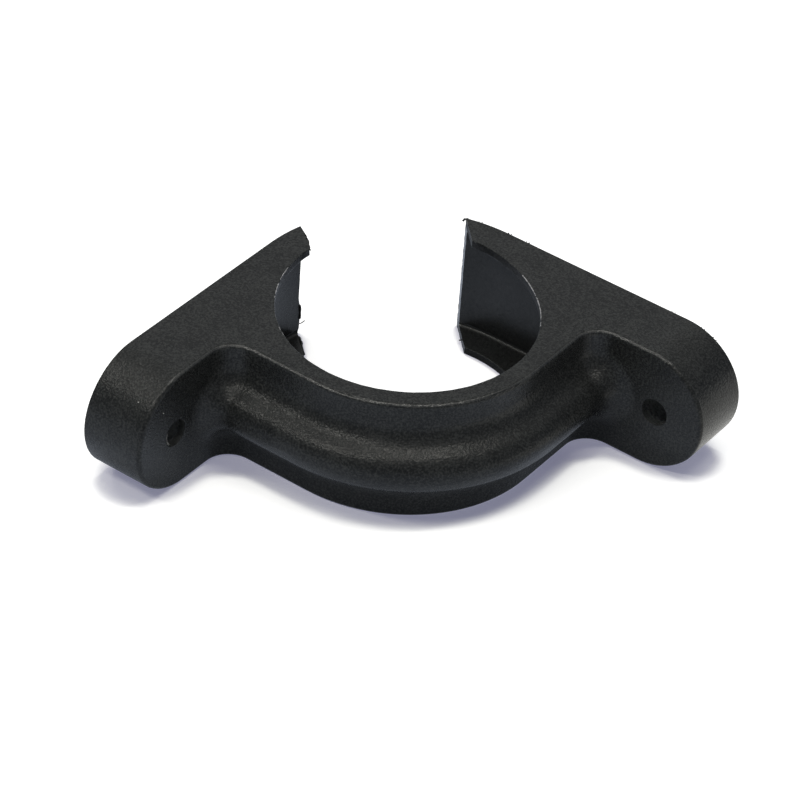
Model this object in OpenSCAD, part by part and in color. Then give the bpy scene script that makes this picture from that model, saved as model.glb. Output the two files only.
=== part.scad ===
// Corner clip for a round downpipe.
// One hollow moulding: a half ring that holds the pipe, and two lugs that seat in an inside corner.
// The pipe runs along +Z, the wall corner lies towards +Y and the clip is symmetric across X. Millimetres.

/* [Pipe seat] */
// Radius of the bore that holds the pipe
seat_r = 34; // [28:0.5:60]
// Height of the clip along the pipe
clip_h = 35.7; // [31:0.1:48]
// Width of the mouth cut through the back corner
mouth_w = 44; // [30:1:52]

/* [Shell] */
// Thickness of the moulded wall
wall = 2.2; // [1.5:0.1:3]
// Depth of the ring, from the bore to the outside of its front wall
ring_d = 5.7; // [4.5:0.1:12]
// Depth of the back, from the bore to the wall faces
back_d = 10.5; // [8:0.5:16]
// Rounding of the outer edges at the front, above and below
edge_r = 1.2; // [0.4:0.1:2]
// Rounding of the corners inside the hollow
hollow_r = 1.2; // [0.4:0.1:2]
// Hollow rounding where ring, bead and lugs run into each other
fillet_r = 7; // [4:0.5:9]

/* [Lugs] */
// Thickness of a lug, from its wall face to its front face
lug_t = 18; // [15:0.5:24]
// Reach of a lug beyond the ring
lug_reach = 34.8; // [30:0.1:45]

/* [Screw holes] */
// Diameter of a screw hole
screw_d = 7.5; // [4:0.5:9]
// Distance from a screw hole's axis to the end of its lug
screw_inset = 14.3; // [10:0.1:17]

/* [Bead] */
// Height that the bead along the front stands off the ring
bead_stand = 8.2; // [6.5:0.1:10]
// Radius of the bead's crest
bead_r = 6.5; // [4:0.5:8]

/* [Hidden] */
$fn = 96;

// The wings stand at this angle to X, so their backs are square to each other
wing_turn = 45;
// Cutters and hidden ends run this far past the faces that they meet
over = 1;

ring_r = seat_r + ring_d;
back_off = seat_r + back_d;
lug_off = back_off - lug_t;
lug_mid_off = lug_off + lug_t / 2;
lug_end = ring_r + lug_reach;
lug_round_r = clip_h / 2;
lug_centre = lug_end - lug_round_r;
screw_along = lug_end - screw_inset;
// Centre of the rounding between ring and lug: distance along the wing, and off the pipe axis
fillet_along = ring_r + fillet_r;
fillet_off = lug_off - fillet_r;
// Middle of the bead's crest, measured off the ring
bead_mid = bead_stand - bead_r;
// Height above the bead's middle at which its rounding meets the ring
fillet_z = sqrt(pow(bead_r + fillet_r, 2) - pow(fillet_r - bead_mid, 2));

// Section of a bar of the clip's height, rounded along its far edges; mid-height is y = 0
module bar_section(w, inset, r) {
  half = clip_h / 2 - inset;
  translate([0, -half])
    square([w - r, 2 * half]);
  if (r > 0) {
    translate([0, r - half])
      square([w, 2 * (half - r)]);
    for (side = [-1, 1])
      translate([w - r, side * (half - r)])
        circle(r);
  }
}

// Crest of the bead, off a ring whose wall is at x = 0
module crest_section(inset) {
  translate([bead_mid, 0])
    circle(bead_r - inset);
}

// What lies between the bead's crest, its roundings' centres and the ring
module root_section(inset) {
  back = -inset - over;
  root_x = bead_mid + (fillet_r - bead_mid) / 4;
  root_z = fillet_z / 4;
  polygon([
    [root_x, root_z], [fillet_r, fillet_z], [back, fillet_z],
    [back, -fillet_z], [fillet_r, -fillet_z], [root_x, -root_z]
  ]);
}

// Puts a shape at the centre of the bead's upper rounding and of its lower one
module at_fillets() {
  for (side = [-1, 1])
    translate([fillet_r, side * fillet_z])
      children();
}

// Bead with its roundings, off a ring whose wall is at x = -inset
module bead_section(inset) {
  crest_section(inset);
  difference() {
    root_section(inset);
    at_fillets()
      circle(fillet_r + inset);
  }
}

// Section of a lug's round end, from its axis out, with the far corner rounded
module end_section(w, h, r) {
  square([w, h - r]);
  if (r > 0) {
    square([w - r, h]);
    translate([w - r, h - r])
      circle(r);
  }
}

// Section of the ring: distance from the pipe axis against height
module ring_section(inset, r) {
  bar_section(ring_r - inset, inset, r);
  translate([ring_r, 0])
    bead_section(inset);
}

// Sweeps a section along +Y, with the section's y standing up
module sweep_off(from, to) {
  translate([0, to, 0])
    rotate([90, 0, 0])
      linear_extrude(to - from)
        children();
}

// Sweeps a section along +X, with the section's x along +Y
module sweep_along(from, to) {
  translate([from, 0, 0])
    rotate([90, 0, 90])
      linear_extrude(to - from)
        children();
}

// Turns a section about an axis along +Y, evenly to both sides of +X
module turn_about_off(angle) {
  rotate([-90, -angle / 2, 0])
    rotate_extrude(angle = angle)
      children();
}

// One wing, with X along it and Y square to its wall face, shrunk by inset.
// Edges at the front are rounded by front_r and edges at the wall face by back_r.
module wing(inset, front_r, back_r) {
  lug_depth = lug_mid_off - lug_off - inset;
  back_depth = back_off - inset - lug_mid_off;
  flat_along = ring_r - inset - front_r;
  flat_off = lug_off + inset + front_r;
  corner_depth = (fillet_r + inset) / 2 + 2 * front_r;

  // Straight wall and bead, from the ring to the lug's rounding
  sweep_off(0, fillet_off)
    ring_section(inset, front_r);

  // Foot of the bead, rounded into the lug's face
  translate([ring_r + bead_mid, fillet_off, 0])
    turn_about_off(180)
      difference() {
        square([bead_r + fillet_r, fillet_r + inset + over]);
        translate([bead_r + fillet_r, 0])
          circle(fillet_r + inset);
      }

  // Corners between ring, bead and lug, rounded as a ball would leave them
  difference() {
    translate([ring_r, 0, 0])
      sweep_off(fillet_off, lug_off + inset + over)
        root_section(inset);
    for (side = [-1, 1])
      translate([fillet_along, fillet_off, side * fillet_z])
        sphere(fillet_r + inset);
  }

  // Rounding between straight wall and lug
  translate([fillet_along, fillet_off, 0])
    rotate([0, 0, 90])
      rotate_extrude(angle = 90)
        translate([fillet_r + inset + corner_depth, 0])
          mirror([1, 0])
            bar_section(corner_depth, inset, front_r);

  // Inside of the corner, reaching into its neighbours
  linear_extrude(clip_h - 2 * inset, center = true)
    polygon([
      [-over, fillet_off - over], [flat_along, fillet_off - over], [flat_along, flat_off],
      [fillet_along + over, flat_off], [fillet_along + over, lug_mid_off + over], [-over, lug_mid_off + over]
    ]);

  // Lug, front half and back half
  sweep_along(fillet_along, lug_centre)
    translate([lug_mid_off + over, 0])
      mirror([1, 0])
        bar_section(lug_depth + over, inset, front_r);
  sweep_along(0, lug_centre)
    translate([lug_mid_off, 0])
      bar_section(back_depth, inset, back_r);

  // Round end of the lug
  translate([lug_centre, lug_mid_off, 0])
    turn_about_off(180) {
      mirror([0, 1])
        end_section(lug_round_r - inset, lug_depth, front_r);
      end_section(lug_round_r - inset, back_depth, back_r);
    }
}

// Puts a shape on both wings
module on_wings() {
  for (m = [0, 1])
    mirror([m, 0, 0])
      rotate([0, 0, -wing_turn])
        children();
}

// The clip's outer form, closed and whole, shrunk by inset
module form(inset, front_r, back_r) {
  on_wings()
    wing(inset, front_r, back_r);
  rotate([0, 0, -90 - wing_turn])
    rotate_extrude(angle = 2 * wing_turn)
      ring_section(inset, front_r);
  rotate([0, 0, wing_turn])
    rotate_extrude(angle = 2 * wing_turn)
      bar_section(back_off - inset, inset, back_r);
}

// Bore for the pipe and the mouth behind it
module pipe_cut() {
  cylinder(r = seat_r, h = clip_h + 2 * over, center = true);
  translate([-mouth_w / 2, 0, -clip_h / 2 - over])
    cube([mouth_w, back_off + over, clip_h + 2 * over]);
}

// Screw hole through a lug, front wall and back wall
module screw_hole() {
  translate([screw_along, lug_off - over, 0])
    rotate([-90, 0, 0])
      cylinder(d = screw_d, h = lug_t + 2 * over);
}

module clip_body() {
  color([0.17, 0.16, 0.14])
    translate([0, 0, clip_h / 2])
      difference() {
        form(0, edge_r, 0);
        union() {
          form(wall, hollow_r, hollow_r);
          pipe_cut();
          on_wings()
            screw_hole();
        }
      }
}

clip_body();
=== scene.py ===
import math

import bmesh
import bpy
from mathutils import Matrix, Quaternion, Vector, noise


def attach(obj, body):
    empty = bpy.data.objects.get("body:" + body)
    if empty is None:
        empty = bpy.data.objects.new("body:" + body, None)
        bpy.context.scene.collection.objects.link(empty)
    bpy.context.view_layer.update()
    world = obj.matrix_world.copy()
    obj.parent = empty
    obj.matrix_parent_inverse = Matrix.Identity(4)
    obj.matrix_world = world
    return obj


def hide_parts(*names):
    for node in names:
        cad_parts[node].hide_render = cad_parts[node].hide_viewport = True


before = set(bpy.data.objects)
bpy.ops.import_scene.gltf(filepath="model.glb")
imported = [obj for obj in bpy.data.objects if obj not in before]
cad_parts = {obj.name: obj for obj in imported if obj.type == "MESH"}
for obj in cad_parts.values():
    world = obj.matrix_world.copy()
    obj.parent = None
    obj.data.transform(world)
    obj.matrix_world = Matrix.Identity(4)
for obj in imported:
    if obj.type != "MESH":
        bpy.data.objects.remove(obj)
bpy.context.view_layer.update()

MM = 0.001

# Sizes of the clip, as in the part's source
SEAT_R = 34 * MM
CLIP_H = 35.7 * MM
WALL = 2.2 * MM
MOUTH_HALF = 22 * MM
BACK_OFF = 44.5 * MM
LUG_OFF = 26.5 * MM
LUG_MID_OFF = (LUG_OFF + BACK_OFF) / 2
LUG_CENTRE = 56.65 * MM
LUG_ROUND_R = CLIP_H / 2
SCREW_ALONG = 60.2 * MM
SCREW_R = 3.75 * MM
EDGE_R = 1.2 * MM

# Edges sharper than this are corners; those of the moulding are broken by a small round
CREASE = math.radians(50)
BROKEN_EDGE = 0.2 * MM
# Edges shorter than this are closed up first, so that the round has room
SHORT_EDGE = 0.12 * MM
# Spacing of points along the trimmed edges, so that they can be ragged
RAGGED_STEP = 0.6 * MM

LEFT, RIGHT = -1, 1

# Sine and cosine of the angle of the wings, which stand at 45 degrees to X
WING_TURN = math.sqrt(0.5)


def wing_point(side, along, off, z):
    """A point given along a wing, off the pipe axis and above the floor."""
    return Vector((side * (along + off) * WING_TURN, (off - along) * WING_TURN, z))


def seat_point(degrees, z, r=SEAT_R):
    """A point on a circle round the pipe axis, turned from +X."""
    angle = math.radians(degrees)
    return Vector((r * math.cos(angle), r * math.sin(angle), z))


def at_radius(x, r, z):
    """The point towards the wall corner that lies at x, and at r from the pipe axis."""
    return Vector((x, math.sqrt(r * r - x * x), z))


def ramp_between(value, low, high):
    """0 below low, 1 above high, and straight between them."""
    return min(max((value - low) / (high - low), 0), 1)


# Node trees

class Nodes:
    """Adds nodes to a tree and links them by socket name or number."""

    def __init__(self, tree):
        self.tree = tree

    def add(self, kind, *values, **settings):
        node = self.tree.nodes.new(kind)
        for name, value in settings.items():
            setattr(node, name, value)
        for socket, value in values:
            self.feed(node, socket, value)
        return node

    def feed(self, node, socket, value):
        target = node.inputs[socket]
        if isinstance(value, bpy.types.NodeSocket):
            self.tree.links.new(value, target)
        elif isinstance(value, bpy.types.Node):
            self.tree.links.new(value.outputs[0], target)
        else:
            target.default_value = value

    def math(self, operation, a, b=0.0):
        return self.add("ShaderNodeMath", (0, a), (1, b), operation=operation)

    def scaled(self, vector, factor):
        node = self.add("ShaderNodeVectorMath", (0, vector), operation="SCALE")
        self.feed(node, "Scale", factor)
        return node

    def map_range(self, value, start, end):
        """Straight between two ends, each an input and its output, and level beyond them."""
        return self.add("ShaderNodeMapRange", ("Value", value), ("From Min", start[0]), ("To Min", start[1]),
                        ("From Max", end[0]), ("To Max", end[1]))

    def noise(self, place, scale, detail):
        """Noise from 0 to 1, as a plain number."""
        node = self.add("ShaderNodeTexNoise", ("Vector", place), ("Scale", scale), ("Detail", detail))
        return node.outputs[0]

    def ramp(self, value, *stops):
        """A colour ramp; each stop is a place and a grey level or a colour."""
        node = self.add("ShaderNodeValToRGB", (0, value))
        elements = node.color_ramp.elements
        while len(elements) < len(stops):
            elements.new(0.5)
        for element, (place, level) in zip(elements, stops):
            element.position = place
            element.color = (level, level, level, 1) if isinstance(level, float) else (*level, 1)
        return node


def new_material(name):
    material = bpy.data.materials.new(name)
    material.use_nodes = True
    material.node_tree.nodes.clear()
    return material, Nodes(material.node_tree)


# Finishes

# Scale of the broad clouding of the plastic, per metre
CLOUD_SCALE = 120.0
# Share of the fine grain in the mottling; the clouding has the rest
GRAIN_SHARE = 0.8
# Levels of the mottling that give the darkest and the lightest colour
DARK_LEVEL, LIGHT_LEVEL = 0.36, 0.64
# Dark spots are rougher than the middle by this much, and light ones smoother
ROUGHNESS_SPREAD = 0.06

# How many times paler the plastic inside the lugs is painted, as painted light where little light reaches:
# in the screw holes, and in the hollow
HOLE_PAINTED_LIGHT = 2.5
HOLLOW_PAINTED_LIGHT = 14.0
# Distances along a wing between which the painted light sets in
PAINTED_LIGHT_START = 36.8 * MM
PAINTED_LIGHT_FULL = 41 * MM


def painted_light_in_lugs(nodes, place):
    """How many times paler the plastic is painted at each place, as painted light: 1 round the pipe, more
    inside the lugs.
    """
    axes = nodes.add("ShaderNodeSeparateXYZ", (0, place)).outputs
    across = nodes.math("ABSOLUTE", axes["X"])
    along = nodes.math("MULTIPLY", nodes.math("SUBTRACT", across, axes["Y"]), WING_TURN)
    off = nodes.math("MULTIPLY", nodes.math("ADD", across, axes["Y"]), WING_TURN)
    from_middle = nodes.math("ABSOLUTE", nodes.math("SUBTRACT", off, LUG_MID_OFF))
    hollow_half = BACK_OFF - LUG_MID_OFF - WALL
    # Painted light: the plastic is paler the most in the hollow, and less at the screw holes
    dust = nodes.map_range(from_middle, (hollow_half + 0.1 * MM, HOLLOW_PAINTED_LIGHT),
                           (hollow_half + 0.4 * MM, HOLE_PAINTED_LIGHT))
    return nodes.map_range(along, (PAINTED_LIGHT_START, 1.0), (PAINTED_LIGHT_FULL, dust))


def plastic(name, dark, light, roughness, gloss, grain, depth, lugs_painted_lighter=False):
    """Black plastic: mottled between two colours, with a grain of the given size and depth."""
    material, nodes = new_material(name)
    place = nodes.add("ShaderNodeTexCoord").outputs["Object"]
    fine = nodes.noise(place, 1 / grain, 1.5)
    broad = nodes.noise(place, CLOUD_SCALE, 3.0)
    mottle = nodes.math("MULTIPLY_ADD", fine, GRAIN_SHARE)
    nodes.feed(mottle, 2, nodes.math("MULTIPLY", broad, 1 - GRAIN_SHARE))
    colour = nodes.ramp(mottle, (DARK_LEVEL, dark), (LIGHT_LEVEL, light))
    # Painted light: the plastic inside the lugs is made paler
    if lugs_painted_lighter:
        colour = nodes.scaled(colour, painted_light_in_lugs(nodes, place))
    uneven = nodes.ramp(mottle, (DARK_LEVEL, roughness + ROUGHNESS_SPREAD),
                        (LIGHT_LEVEL, roughness - ROUGHNESS_SPREAD))
    bump = nodes.add("ShaderNodeBump", ("Distance", depth), ("Height", fine))
    shader = nodes.add("ShaderNodeBsdfPrincipled", ("Base Color", colour), ("Roughness", uneven),
                       ("Specular IOR Level", gloss), ("Normal", bump))
    nodes.add("ShaderNodeOutputMaterial", ("Surface", shader))
    return material


# Each finish: darkest and lightest colour, roughness, gloss, size and depth of the grain
FINISHES = [
    plastic("grained_black_plastic", (0.005, 0.0055, 0.0056), (0.031, 0.0325, 0.0315),
            0.22, 0.21, 0.5 * MM, 0.14 * MM),
    # A painted highlight along the top front edge: lighter and glossier than the grain beside it
    plastic("painted_edge_highlight", (0.005, 0.0055, 0.0056), (0.04, 0.041, 0.039),
            0.26, 0.55, 0.5 * MM, 0.18 * MM),
    # Smooth plastic of the hollow; inside the lugs it is painted paler, as painted light
    plastic("smooth_black_plastic", (0.006, 0.0063, 0.0063), (0.018, 0.019, 0.0188),
            0.3, 0.28, 0.6 * MM, 0.03 * MM, lugs_painted_lighter=True),
    plastic("trimmed_black_plastic", (0.004, 0.004, 0.004), (0.018, 0.018, 0.018),
            0.5, 0.12, 0.5 * MM, 0.06 * MM),
    plastic("sawn_black_plastic", (0.01, 0.01, 0.012), (0.045, 0.044, 0.05),
            0.24, 0.45, 0.5 * MM, 0.05 * MM),
    # A painted reflection on stretches of the bore's upper rim: a pale colour
    plastic("painted_rim_reflection", (0.12, 0.12, 0.125), (0.5, 0.49, 0.5),
            0.45, 0.5, 0.5 * MM, 0.05 * MM),
    # Flash of a pale colour of its own, made paler still as painted light so that the sliver in the left
    # screw hole shows bright
    plastic("pale_flash_and_painted_light", (0.07, 0.07, 0.067), (0.19, 0.19, 0.18),
            0.4, 0.4, 0.4 * MM, 0.05 * MM),
    plastic("dust", (0.35, 0.35, 0.33), (0.65, 0.65, 0.62),
            0.7, 0.3, 0.1 * MM, 0.02 * MM),
]
GRAINED, PAINTED_EDGE_HIGHLIGHT, SMOOTH, TRIMMED, SAWN, PAINTED_RIM_REFLECTION, PALE_FLASH_AND_PAINTED_LIGHT, DUST = range(len(FINISHES))


# The moulding

def smooth_regions(bm):
    """Groups of faces that run into each other without a corner."""
    left = set(bm.faces)
    regions = []
    while left:
        face = left.pop()
        region, todo = [face], [face]
        while todo:
            for edge in todo.pop().edges:
                if edge.calc_face_angle(0.0) < CREASE:
                    for other in edge.link_faces:
                        if other in left:
                            left.discard(other)
                            region.append(other)
                            todo.append(other)
        regions.append(region)
    return regions


def on_seat(point, slack=0.1 * MM):
    return abs(math.hypot(point.x, point.y) - SEAT_R) < slack


def on_mouth(point, slack=0.1 * MM):
    return abs(abs(point.x) - MOUTH_HALF) < slack and point.y > 0


def on_back(point, slack=0.1 * MM):
    """On one of the two flat wall faces."""
    return abs(abs(point.x) + point.y - BACK_OFF * math.sqrt(2)) < slack


def region_finish(region):
    """The finish of one smooth stretch of the surface, from where it lies."""
    points = [v.co for face in region for v in face.verts]
    lowest, highest = min(p.z for p in points), max(p.z for p in points)
    inside = lowest > WALL / 2 and highest < CLIP_H - WALL / 2
    if inside and not all(on_back(p) for p in points):
        return SMOOTH
    return GRAINED


def on_painted_edge_highlight(face):
    """On the middle of the rounded edge along the top of the front, which is painted lighter and glossier as
    a painted highlight.
    """
    return face.calc_center_median().z > CLIP_H - EDGE_R and 0.5 < face.normal.z < 0.93


def is_upper(point):
    """On the upper plate, rather than on the walls or the lower plate."""
    return point.z > CLIP_H - 1.01 * WALL


def finish_surfaces(bm):
    """Grain outside, smooth plastic in the hollow, the marks of knife and saw at bore and mouth, and a
    painted highlight along the top front edge.
    """
    for region in smooth_regions(bm):
        finish = region_finish(region)
        for face in region:
            face.material_index = finish
    sawn = [face for face in bm.faces if all(on_mouth(v.co) for v in face.verts)]
    parts = {part for face in sawn for part in (face, *face.edges, *face.verts)}
    bmesh.ops.bisect_plane(bm, geom=list(parts), dist=0.001 * MM, plane_co=(0, 0, CLIP_H - WALL),
                           plane_no=(0, 0, 1))
    for face in bm.faces:
        points = [v.co for v in face.verts]
        if all(on_mouth(p) for p in points):
            face.material_index = TRIMMED if all(is_upper(p) for p in points) else SAWN
        elif all(on_seat(p) for p in points):
            face.material_index = TRIMMED
        # Painted highlight on the middle of the top front edge
        elif on_painted_edge_highlight(face):
            face.material_index = PAINTED_EDGE_HIGHLIGHT


# Distances from the middle of the mouth at which the saw ended the clip, in millimetres
RIGHT_CUT = 21.3
LEFT_UPPER_CUT, LEFT_WALL_CUT, LEFT_LOWER_CUT = 21.75, 22.75, 22.0
# Heights above which the cut edge belongs to the upper plate, and to the wall, in millimetres
UPPER_PLATE_FROM, WALL_FROM = 30, 3.5


def trimmed_edge_x(side, point):
    """Where the saw cut through the back corner ends the clip."""
    y, z = point.y / MM, point.z / MM
    wander = 0.12 * noise.noise(Vector((0, y, z)) * 0.7)
    nicks = 1.3 * noise.noise(Vector((2, y * 0.9, z * 0.2)))
    if side == RIGHT:
        return (RIGHT_CUT + wander) * MM
    if z > UPPER_PLATE_FROM:
        slant = 1.25 * ramp_between(y, 31, 38)
        return -(LEFT_UPPER_CUT + slant + nicks * ramp_between(35 - y, 0, 2)) * MM
    if z > WALL_FROM:
        return -(LEFT_WALL_CUT - 0.55 * ramp_between(12 - z, 0, 1.5) + wander) * MM
    return -(LEFT_LOWER_CUT + 0.4 * ramp_between(y, 27, 32) + 0.3 * nicks) * MM


# The cut edge is shifted with the rim, less and less up to this distance from the pipe axis
TRIM_REACH = 40 * MM
# The most that the knife took off the rim, in millimetres
RIGHT_TRIM, LEFT_TRIM = 1.8, 1.2


def rim_trim(point):
    """How much more the knife took off the upper rim of the bore, close to the mouth."""
    if point.y < 0 or not is_upper(point):
        return 0
    most = RIGHT_TRIM if point.x > 0 else LEFT_TRIM
    near_mouth = ramp_between(SEAT_R - abs(point.x), 0, SEAT_R - MOUTH_HALF)
    near_rim = ramp_between(TRIM_REACH - math.hypot(point.x, point.y), 0, TRIM_REACH - SEAT_R)
    return most * MM * near_mouth * near_rim


def trim_raggedly(bm):
    """Moves the mouth's cut faces to where the saw went and makes the bore's rims slightly uneven."""
    for vert in bm.verts:
        point = vert.co
        if on_mouth(point, 2 * BROKEN_EDGE):
            side = RIGHT if point.x > 0 else LEFT
            inset = MOUTH_HALF - abs(point.x)
            r = math.hypot(point.x, point.y) + rim_trim(point)
            vert.co = at_radius(trimmed_edge_x(side, point) - side * inset, r, point.z)
        elif on_seat(point, 2 * BROKEN_EDGE):
            uneven = 0.07 * MM * noise.noise(point / MM * 0.6)
            stretch = 1 + (uneven + rim_trim(point)) / math.hypot(point.x, point.y)
            vert.co = Vector((point.x * stretch, point.y * stretch, point.z))


# Stretches of the bore's upper rim painted pale, as a painted reflection of the bright room at a grazing
# angle, in degrees from +X
PAINTED_REFLECTION_RIMS = [(-15, 22), (144, 168), (189, 196)]


def on_painted_reflection_rim(point):
    """On a stretch of the bore's upper rim painted pale as a painted reflection, apart from its gaps."""
    if not on_seat(point, 2 * BROKEN_EDGE) or point.z < CLIP_H - WALL / 2:
        return False
    degrees = math.degrees(math.atan2(point.y, point.x))
    pale = any(start <= degrees + lap <= end for start, end in PAINTED_REFLECTION_RIMS for lap in (0, 360))
    return pale and noise.noise(point / MM * 0.5) > -0.25


def split_trimmed_edges(bm):
    """Adds points along the edges that knife and saw left, so that they can be ragged."""
    for edge in list(bm.edges):
        ends = [v.co for v in edge.verts]
        trimmed = all(on_mouth(p) for p in ends) or all(on_seat(p) for p in ends)
        cuts = int(edge.calc_length() / RAGGED_STEP)
        if trimmed and cuts and edge.calc_face_angle(0.0) > CREASE:
            bmesh.ops.subdivide_edges(bm, edges=[edge], cuts=cuts)


def break_edges(bm):
    """Rounds the corners slightly, and paints stretches of the bore's upper rim pale as a painted
    reflection; the saw's edges at the mouth stay sharp.
    """
    corners = [edge for edge in bm.edges if edge.calc_face_angle(0.0) > CREASE]
    sawn = {edge for edge in corners if all(on_mouth(v.co) for v in edge.verts)}
    moulded = [edge for edge in corners if edge not in sawn]
    broken = bmesh.ops.bevel(bm, geom=moulded, offset=BROKEN_EDGE, offset_type="OFFSET", segments=2,
                             profile=0.5, affect="EDGES", clamp_overlap=False)
    for face in broken["faces"]:
        # Painted reflection: stretches of the rounded rim are made pale
        if on_painted_reflection_rim(face.calc_center_median()):
            face.material_index = PAINTED_RIM_REFLECTION


def clip_shell():
    """The moulded shell with its edges broken and its cuts left ragged."""
    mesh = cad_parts["clip_body"].data.copy()
    mesh.name = "clip_shell"
    bm = bmesh.new()
    bm.from_mesh(mesh)
    bmesh.ops.remove_doubles(bm, verts=bm.verts, dist=0.002 * MM)
    finish_surfaces(bm)
    bmesh.ops.dissolve_limit(bm, angle_limit=math.radians(0.4), verts=bm.verts, edges=bm.edges,
                             delimit={"MATERIAL"})
    bmesh.ops.dissolve_degenerate(bm, dist=SHORT_EDGE, edges=bm.edges)
    split_trimmed_edges(bm)
    break_edges(bm)
    trim_raggedly(bm)
    for edge in bm.edges:
        edge.smooth = edge.calc_face_angle(0.0) < CREASE
    for face in bm.faces:
        face.smooth = True
    bm.to_mesh(mesh)
    bm.free()
    return mesh


# Burrs, nibs and a hair of plastic left by the mould and the saw

def path_curve(name, points):
    """A curve of straight stretches through the points."""
    data = bpy.data.curves.new(name, "CURVE")
    data.dimensions = "3D"
    spline = data.splines.new("POLY")
    spline.points.add(len(points) - 1)
    for spot, point in zip(spline.points, points):
        spot.co = (*point, 1)
    curve = bpy.data.objects.new(name, data)
    bpy.context.scene.collection.objects.link(curve)
    return curve


def node_group(name, *sizes):
    """A geometry tree with a named input for each size; returns the tree, its nodes and its inputs."""
    tree = bpy.data.node_groups.new(name, "GeometryNodeTree")
    tree.interface.new_socket("Geometry", in_out="INPUT", socket_type="NodeSocketGeometry")
    for size in sizes:
        tree.interface.new_socket(size, in_out="INPUT", socket_type="NodeSocketFloat")
    tree.interface.new_socket("Finish", in_out="INPUT", socket_type="NodeSocketMaterial")
    tree.interface.new_socket("Geometry", in_out="OUTPUT", socket_type="NodeSocketGeometry")
    nodes = Nodes(tree)
    return tree, nodes, nodes.add("NodeGroupInput").outputs


def end_group(nodes, geometry, finish):
    """Ends a geometry tree: plain geometry in its finish."""
    whole = nodes.add("GeometryNodeRealizeInstances", (0, geometry))
    dressed = nodes.add("GeometryNodeSetMaterial", ("Geometry", whole), ("Material", finish))
    nodes.add("NodeGroupOutput", ("Geometry", dressed))


def burr_tree():
    """A ragged thread of plastic along a path: thick and thin, and bent out of line."""
    tree, nodes, inputs = node_group("burr", "Radius", "Unevenness", "Raggedness", "Step", "Seed")
    path = nodes.add("GeometryNodeResampleCurve", ("Curve", inputs["Geometry"]),
                     ("Length", inputs["Step"]), mode="LENGTH")
    place = nodes.add("GeometryNodeInputPosition")
    shake = nodes.add("ShaderNodeTexNoise", ("Vector", place), ("W", inputs["Seed"]), ("Scale", 900.0),
                      noise_dimensions="4D")
    centred = nodes.add("ShaderNodeVectorMath", (0, shake.outputs["Color"]), (1, (0.5, 0.5, 0.5)),
                        operation="SUBTRACT")
    bend = nodes.scaled(centred, inputs["Raggedness"])
    moved = nodes.add("GeometryNodeSetPosition", ("Geometry", path), ("Offset", bend))
    swell = nodes.add("ShaderNodeTexNoise", ("Vector", place), ("W", inputs["Seed"]), ("Scale", 1400.0),
                      noise_dimensions="4D")
    thinnest = nodes.math("SUBTRACT", 1.0, inputs["Unevenness"])
    thick = nodes.map_range(swell.outputs[0], (0.42, thinnest), (0.68, 1.0))
    ring = nodes.add("GeometryNodeCurvePrimitiveCircle", ("Resolution", 6), ("Radius", 1.0))
    tube = nodes.add("GeometryNodeCurveToMesh", ("Curve", moved), ("Profile Curve", ring),
                     ("Scale", nodes.math("MULTIPLY", thick, inputs["Radius"])), ("Fill Caps", True))
    end_group(nodes, tube, inputs["Finish"])
    return tree


def nib_tree():
    """Small torn nibs of plastic, dotted along a path."""
    tree, nodes, inputs = node_group("nibs", "Size", "Scatter", "Spacing", "Seed")
    dots = nodes.add("GeometryNodeCurveToPoints", ("Curve", inputs["Geometry"]),
                     ("Length", inputs["Spacing"]), mode="LENGTH")
    nib = nodes.add("GeometryNodeMeshIcoSphere", ("Radius", 1.0), ("Subdivisions", 1))
    shift = nodes.add("FunctionNodeRandomValue", (0, (-1.0, -1.0, -1.0)), (1, (1.0, 1.0, 1.0)),
                      ("Seed", inputs["Seed"]), data_type="FLOAT_VECTOR")
    spread = nodes.add("GeometryNodeSetPosition", ("Geometry", dots.outputs["Points"]),
                       ("Offset", nodes.scaled(shift, inputs["Scatter"])))
    turn = nodes.add("ShaderNodeVectorMath", (0, shift), (1, (3.0, 2.0, 1.0)), operation="MULTIPLY")
    form = nodes.add("FunctionNodeRandomValue", (0, (0.4, 0.4, 0.4)), (1, (1.0, 1.0, 1.0)),
                     ("Seed", nodes.math("ADD", inputs["Seed"], 1.0)), data_type="FLOAT_VECTOR")
    placed = nodes.add("GeometryNodeInstanceOnPoints", ("Points", spread), ("Instance", nib),
                       ("Rotation", turn), ("Scale", nodes.scaled(form, inputs["Size"])))
    end_group(nodes, placed, inputs["Finish"])
    return tree


def grow(tree, points, finish, **sizes):
    """Runs a geometry tree along a path and returns the plain mesh that it makes."""
    curve = path_curve(tree.name, points)
    modifier = curve.modifiers.new(tree.name, "NODES")
    modifier.node_group = tree
    sockets = {s.name: s.identifier for s in tree.interface.items_tree if s.in_out == "INPUT"}
    for name, value in sizes.items():
        modifier[sockets[name]] = float(value)
    modifier[sockets["Finish"]] = finish
    evaluated = curve.evaluated_get(bpy.context.evaluated_depsgraph_get())
    mesh = bpy.data.meshes.new_from_object(evaluated)
    bpy.data.objects.remove(curve)
    return mesh


def back_edge(*alongs):
    """Places on the right wing's upper edge at the wall side, given along the wing in millimetres."""
    points = []
    for along in alongs:
        if along < 0:
            points.append(seat_point(45 - math.degrees(along * MM / BACK_OFF), CLIP_H, BACK_OFF))
        else:
            past = max(along * MM - LUG_CENTRE, 0)
            z = LUG_ROUND_R + math.sqrt(LUG_ROUND_R ** 2 - past ** 2)
            points.append(wing_point(RIGHT, along * MM, BACK_OFF, z))
    return points


def mouth_edge(side, *places):
    """A path along a cut edge; a place is a distance from the pipe axis and a height, in millimetres."""
    points = []
    for r, z in places:
        guess = at_radius(side * MOUTH_HALF, r * MM, z * MM)
        points.append(at_radius(trimmed_edge_x(side, guess), r * MM, z * MM))
    return points


def from_point(start, *steps):
    """A path that starts near a point; each step is counted from that point, in millimetres."""
    return [start + Vector(step) * MM for step in steps]


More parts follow.
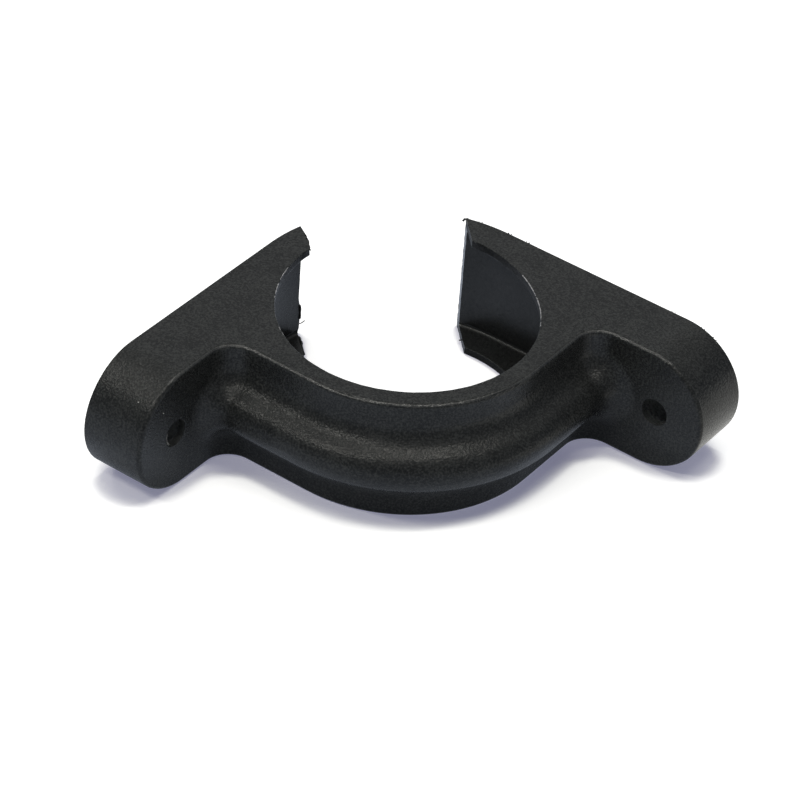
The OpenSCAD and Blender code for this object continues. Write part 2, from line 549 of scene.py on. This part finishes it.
def left_cut_burrs(burr):
    """Nicks on the upper plate, a flap and a hair on the wall, torn bits on the lower plate."""
    yield burr, mouth_edge(LEFT, (37.8, 35.4), (34.4, 35.4)), GRAINED, dict(
        Radius=0.3 * MM, Unevenness=0.9, Raggedness=0.6 * MM, Step=0.5 * MM, Seed=1)
    yield burr, mouth_edge(LEFT, (42.3, 11.2), (42.3, 9.5), (42.3, 6.8)), TRIMMED, dict(
        Radius=0.52 * MM, Unevenness=0.4, Raggedness=0.35 * MM, Step=0.6 * MM, Seed=2)
    root = mouth_edge(LEFT, (42.3, 4.95))[0]
    yield burr, from_point(root, (-0.4, 0, 0), (0.5, 0.3, -0.1), (1.6, 0.9, 0.3)), GRAINED, dict(
        Radius=0.17 * MM, Unevenness=0.25, Raggedness=0.08 * MM, Step=0.25 * MM, Seed=5)
    yield burr, mouth_edge(LEFT, (40.5, 2.2), (37, 2.2), (34.3, 2.0)), GRAINED, dict(
        Radius=0.55 * MM, Unevenness=0.7, Raggedness=0.5 * MM, Step=0.7 * MM, Seed=4)


def right_cut_burrs(burr):
    """A pale thread along the upper plate, a hook at its corner and a spike on the lower plate."""
    yield burr, mouth_edge(RIGHT, (44.0, 35.6), (39, 35.6), (35.6, 35.6)), PALE_FLASH_AND_PAINTED_LIGHT, dict(
        Radius=0.11 * MM, Unevenness=0.8, Raggedness=0.25 * MM, Step=0.4 * MM, Seed=9)
    corner = mouth_edge(RIGHT, (44.2, 35.5))[0]
    hook = from_point(corner, (0.6, -0.2, 0), (0, 0, 0), (-0.5, 0.1, -0.1), (-0.9, -0.2, -0.5))
    yield burr, hook, GRAINED, dict(
        Radius=0.4 * MM, Unevenness=0.5, Raggedness=0.15 * MM, Step=0.3 * MM, Seed=6)
    low = mouth_edge(RIGHT, (38, 1.2))[0]
    yield burr, from_point(low, (0.5, 0, 0), (0, -0.4, 0), (-0.7, -0.6, 0)), TRIMMED, dict(
        Radius=0.35 * MM, Unevenness=0.5, Raggedness=0.2 * MM, Step=0.3 * MM, Seed=7)


def hole_flash(burr):
    """A sliver of pale flash inside the rim of the left screw hole, made paler still as painted light."""
    r = SCREW_R - 0.3 * MM
    rim = []
    for degrees in (-42, -20, 2, 22):
        turn = math.radians(degrees)
        along = SCREW_ALONG + r * math.cos(turn)
        rim.append(wing_point(LEFT, along, LUG_OFF + 0.2 * MM, CLIP_H / 2 + r * math.sin(turn)))
    yield burr, rim, PALE_FLASH_AND_PAINTED_LIGHT, dict(
        Radius=0.38 * MM, Unevenness=0.6, Raggedness=0.2 * MM, Step=0.4 * MM, Seed=8)


def edge_nibs(nibs):
    """Flash on the right wing's back edge, and two specks of dust on the left lug."""
    for number, along in enumerate((-9, 0, 5.7, 51.6, 60.8, 64.6)):
        yield nibs, back_edge(along, along + 0.9), GRAINED, dict(
            Size=0.24 * MM, Scatter=0.08 * MM, Spacing=0.8 * MM, Seed=10 + number)
    for along, off, z in ((69.28, 31.33, 30.44), (65.3, 26.5, 27.1)):
        spot = wing_point(LEFT, along * MM, off * MM, z * MM)
        yield nibs, from_point(spot, (0, 0, 0), (0, 0, 0.3)), DUST, dict(
            Size=0.3 * MM, Scatter=0, Spacing=0.9 * MM, Seed=20)


def burrs():
    """Every burr, nib, hair and speck, with the number of its finish."""
    burr, nibs = burr_tree(), nib_tree()
    plans = [*left_cut_burrs(burr), *right_cut_burrs(burr), *hole_flash(burr), *edge_nibs(nibs)]
    return [(grow(tree, points, FINISHES[finish], **sizes), finish)
            for tree, points, finish, sizes in plans]


def join_meshes(mesh, extras):
    """Adds the extra meshes to the shell, each in its own finish."""
    bm = bmesh.new()
    bm.from_mesh(mesh)
    for extra, finish in extras:
        first = len(bm.faces)
        bm.from_mesh(extra)
        bm.faces.ensure_lookup_table()
        for face in bm.faces[first:]:
            face.material_index = finish
            face.smooth = True
    mesh.materials.clear()
    for material in FINISHES:
        mesh.materials.append(material)
    bm.to_mesh(mesh)
    bm.free()


def evenly_shaded(mesh):
    """The same mesh with its flat faces shaded flat right up to their rounded edges."""
    draft = bpy.data.objects.new("draft", mesh)
    bpy.context.scene.collection.objects.link(draft)
    modifier = draft.modifiers.new("even_shading", "WEIGHTED_NORMAL")
    modifier.keep_sharp = True
    evaluated = draft.evaluated_get(bpy.context.evaluated_depsgraph_get())
    shaded = bpy.data.meshes.new_from_object(evaluated)
    bpy.data.objects.remove(draft)
    return shaded


shell_mesh = clip_shell()
join_meshes(shell_mesh, burrs())
shell = bpy.data.objects.new("clip_shell", evenly_shaded(shell_mesh))
bpy.context.scene.collection.objects.link(shell)
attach(shell, "root")
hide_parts("clip_body")


# Floor, light and camera

# Direction from the floor beside the clip towards the lamps on the left, in which the floor looks for the
# clip to paint its shadow
LAMP_SIDE = (-0.85, 0.2, 0.5)
# How far from the clip the floor's painted shadow reaches: to the eye, and in what the plastic mirrors
SHADOW_REACH = 0.012
MIRROR_REACH = 0.014
# A painted reflection: the floor glows white for the plastic to mirror to the right of these places across
# the clip, where it sets in and is full
BRIGHT_START, BRIGHT_FULL = 0.072, 0.082


def seen_floor(nodes, matt):
    """What the eye sees: white, slightly over-lit, with a painted lilac shadow near the clip, where the
    added glow dims as the clip covers the floor.
    """
    clear = nodes.add("ShaderNodeAmbientOcclusion", ("Distance", SHADOW_REACH), ("Normal", LAMP_SIDE),
                      samples=16).outputs["AO"]
    glow = nodes.ramp(clear, (0.2, (0.17, 0.17, 0.24)), (0.45, (0.1, 0.1, 0.17)),
                      (0.6, (0.06, 0.06, 0.12)), (0.72, (0.55, 0.55, 0.55)))
    white = nodes.add("ShaderNodeEmission", ("Color", glow), ("Strength", 1.0))
    return nodes.add("ShaderNodeAddShader", (0, matt.outputs[0]), (1, white.outputs[0]))


def mirrored_floor(nodes):
    """What the plastic mirrors, a painted reflection: a pale glow with painted shade close to the clip, and
    white beside the right lug.
    """
    clear = nodes.add("ShaderNodeAmbientOcclusion", ("Distance", MIRROR_REACH), samples=16).outputs["AO"]
    shade = nodes.ramp(clear, (0.1, (0.16, 0.175, 0.205)), (0.5, (0.25, 0.275, 0.32)),
                       (0.8, (0.35, 0.38, 0.43)), (0.97, (0.68, 0.75, 0.87)))
    pale = nodes.add("ShaderNodeEmission", ("Color", shade), ("Strength", 1.0))
    bright = nodes.add("ShaderNodeEmission", ("Color", (1.0, 1.0, 0.96, 1)), ("Strength", 1.0))
    place = nodes.add("ShaderNodeTexCoord").outputs["Object"]
    across = nodes.add("ShaderNodeSeparateXYZ", (0, place)).outputs["X"]
    beside = nodes.map_range(across, (BRIGHT_START, 0.0), (BRIGHT_FULL, 1.0))
    return nodes.add("ShaderNodeMixShader", (0, beside), (1, pale.outputs[0]), (2, bright.outputs[0]))


def pale_floor():
    """A white floor that keeps the clip's shadow, cast by the lamps and partly painted."""
    material, nodes = new_material("pale_floor")
    matt = nodes.add("ShaderNodeBsdfDiffuse", ("Color", (0.86, 0.86, 0.87, 1)))
    path = nodes.add("ShaderNodeLightPath").outputs
    seen = nodes.math("MAXIMUM", path["Is Camera Ray"], path["Is Transmission Ray"])
    unseen = nodes.add("ShaderNodeMixShader", (0, path["Is Glossy Ray"]), (1, matt.outputs[0]),
                       (2, mirrored_floor(nodes).outputs[0]))
    mix = nodes.add("ShaderNodeMixShader", (0, seen), (1, unseen.outputs[0]),
                    (2, seen_floor(nodes, matt).outputs[0]))
    nodes.add("ShaderNodeOutputMaterial", ("Surface", mix))
    bpy.ops.mesh.primitive_plane_add(size=6)
    floor = bpy.context.object
    floor.name = "floor"
    floor.data.materials.append(material)


def studio_sky():
    """A dim bluish room, brighter overhead and behind the clip, that the camera sees as white."""
    world = bpy.data.worlds.new("studio")
    bpy.context.scene.world = world
    world.use_nodes = True
    world.node_tree.nodes.clear()
    nodes = Nodes(world.node_tree)
    direction = nodes.add("ShaderNodeTexCoord").outputs["Generated"]
    facing = nodes.add("ShaderNodeSeparateXYZ", (0, direction)).outputs
    sky = nodes.ramp(facing["Z"], (0.0, (0.18, 0.20, 0.25)), (0.35, (0.15, 0.165, 0.20)),
                     (0.75, (0.5, 0.51, 0.52)), (1.0, (0.8, 0.8, 0.79)))
    far_wall = nodes.ramp(facing["Y"], (0.25, (0.0, 0.0, 0.0)), (0.75, (0.25, 0.25, 0.24)))
    room = nodes.add("ShaderNodeVectorMath", (0, sky), (1, far_wall), operation="ADD")
    dim = nodes.add("ShaderNodeBackground", ("Color", room), ("Strength", 1.0))
    white = nodes.add("ShaderNodeBackground", ("Color", (1, 1, 1, 1)), ("Strength", 1.0))
    seen = nodes.add("ShaderNodeLightPath").outputs["Is Camera Ray"]
    mix = nodes.add("ShaderNodeMixShader", (0, seen), (1, dim.outputs[0]), (2, white.outputs[0]))
    nodes.add("ShaderNodeOutputWorld", ("Surface", mix))


def softbox(name, place, size, watts, roll=0):
    """A warm white lamp that faces the clip, turned about its own axis by the roll in degrees."""
    lamp = bpy.data.lights.new(name, "AREA")
    lamp.shape = "RECTANGLE"
    lamp.size, lamp.size_y = size
    lamp.energy = watts
    lamp.color = (1.0, 0.98, 0.9)
    box = bpy.data.objects.new(name, lamp)
    box.location = place
    turned = Quaternion((0, 0, 1), math.radians(roll))
    box.rotation_euler = ((-box.location).to_track_quat("-Z", "Y") @ turned).to_euler()
    bpy.context.scene.collection.objects.link(box)


# The photograph's viewpoint: the lens on a film 36 mm wide, its place in millimetres, and its
# azimuth, elevation and roll in degrees
LENS = 164.51
VIEWPOINT = (-142.8, -734.1, 594.1)
VIEW_ANGLES = (-10.99, 38.17, -4.44)


def camera():
    """A long lens, looking down at the front of the clip, slightly tilted."""
    azimuth, elevation, roll = (math.radians(angle) for angle in VIEW_ANGLES)
    flat = math.cos(elevation)
    forward = Vector((-math.sin(azimuth) * flat, math.cos(azimuth) * flat, -math.sin(elevation)))
    level = Vector((math.cos(azimuth), math.sin(azimuth), 0))
    down = forward.cross(level)
    right = math.cos(roll) * level + math.sin(roll) * down
    below = math.cos(roll) * down - math.sin(roll) * level
    pose = Matrix((right, -below, -forward)).transposed().to_4x4()
    pose.translation = Vector(VIEWPOINT) * MM
    data = bpy.data.cameras.new("camera")
    data.sensor_width = 36
    data.lens = LENS
    data.clip_start = 0.05
    view = bpy.data.objects.new("camera", data)
    view.matrix_world = pose
    bpy.context.scene.collection.objects.link(view)
    bpy.context.scene.camera = view


pale_floor()
studio_sky()
softbox("left_strip", (-0.51, -0.25, 0.78), (0.6, 0.05), 2.0, roll=30)
softbox("top_strip", (0.12, -0.19, 0.97), (0.56, 0.06), 2.0, roll=-32)
softbox("rear_left_box", (-0.58, 0.4, 0.71), (0.2, 0.2), 1.0)
camera()
bpy.context.scene.view_settings.view_transform = "Standard"

bpy.context.view_layer.update()
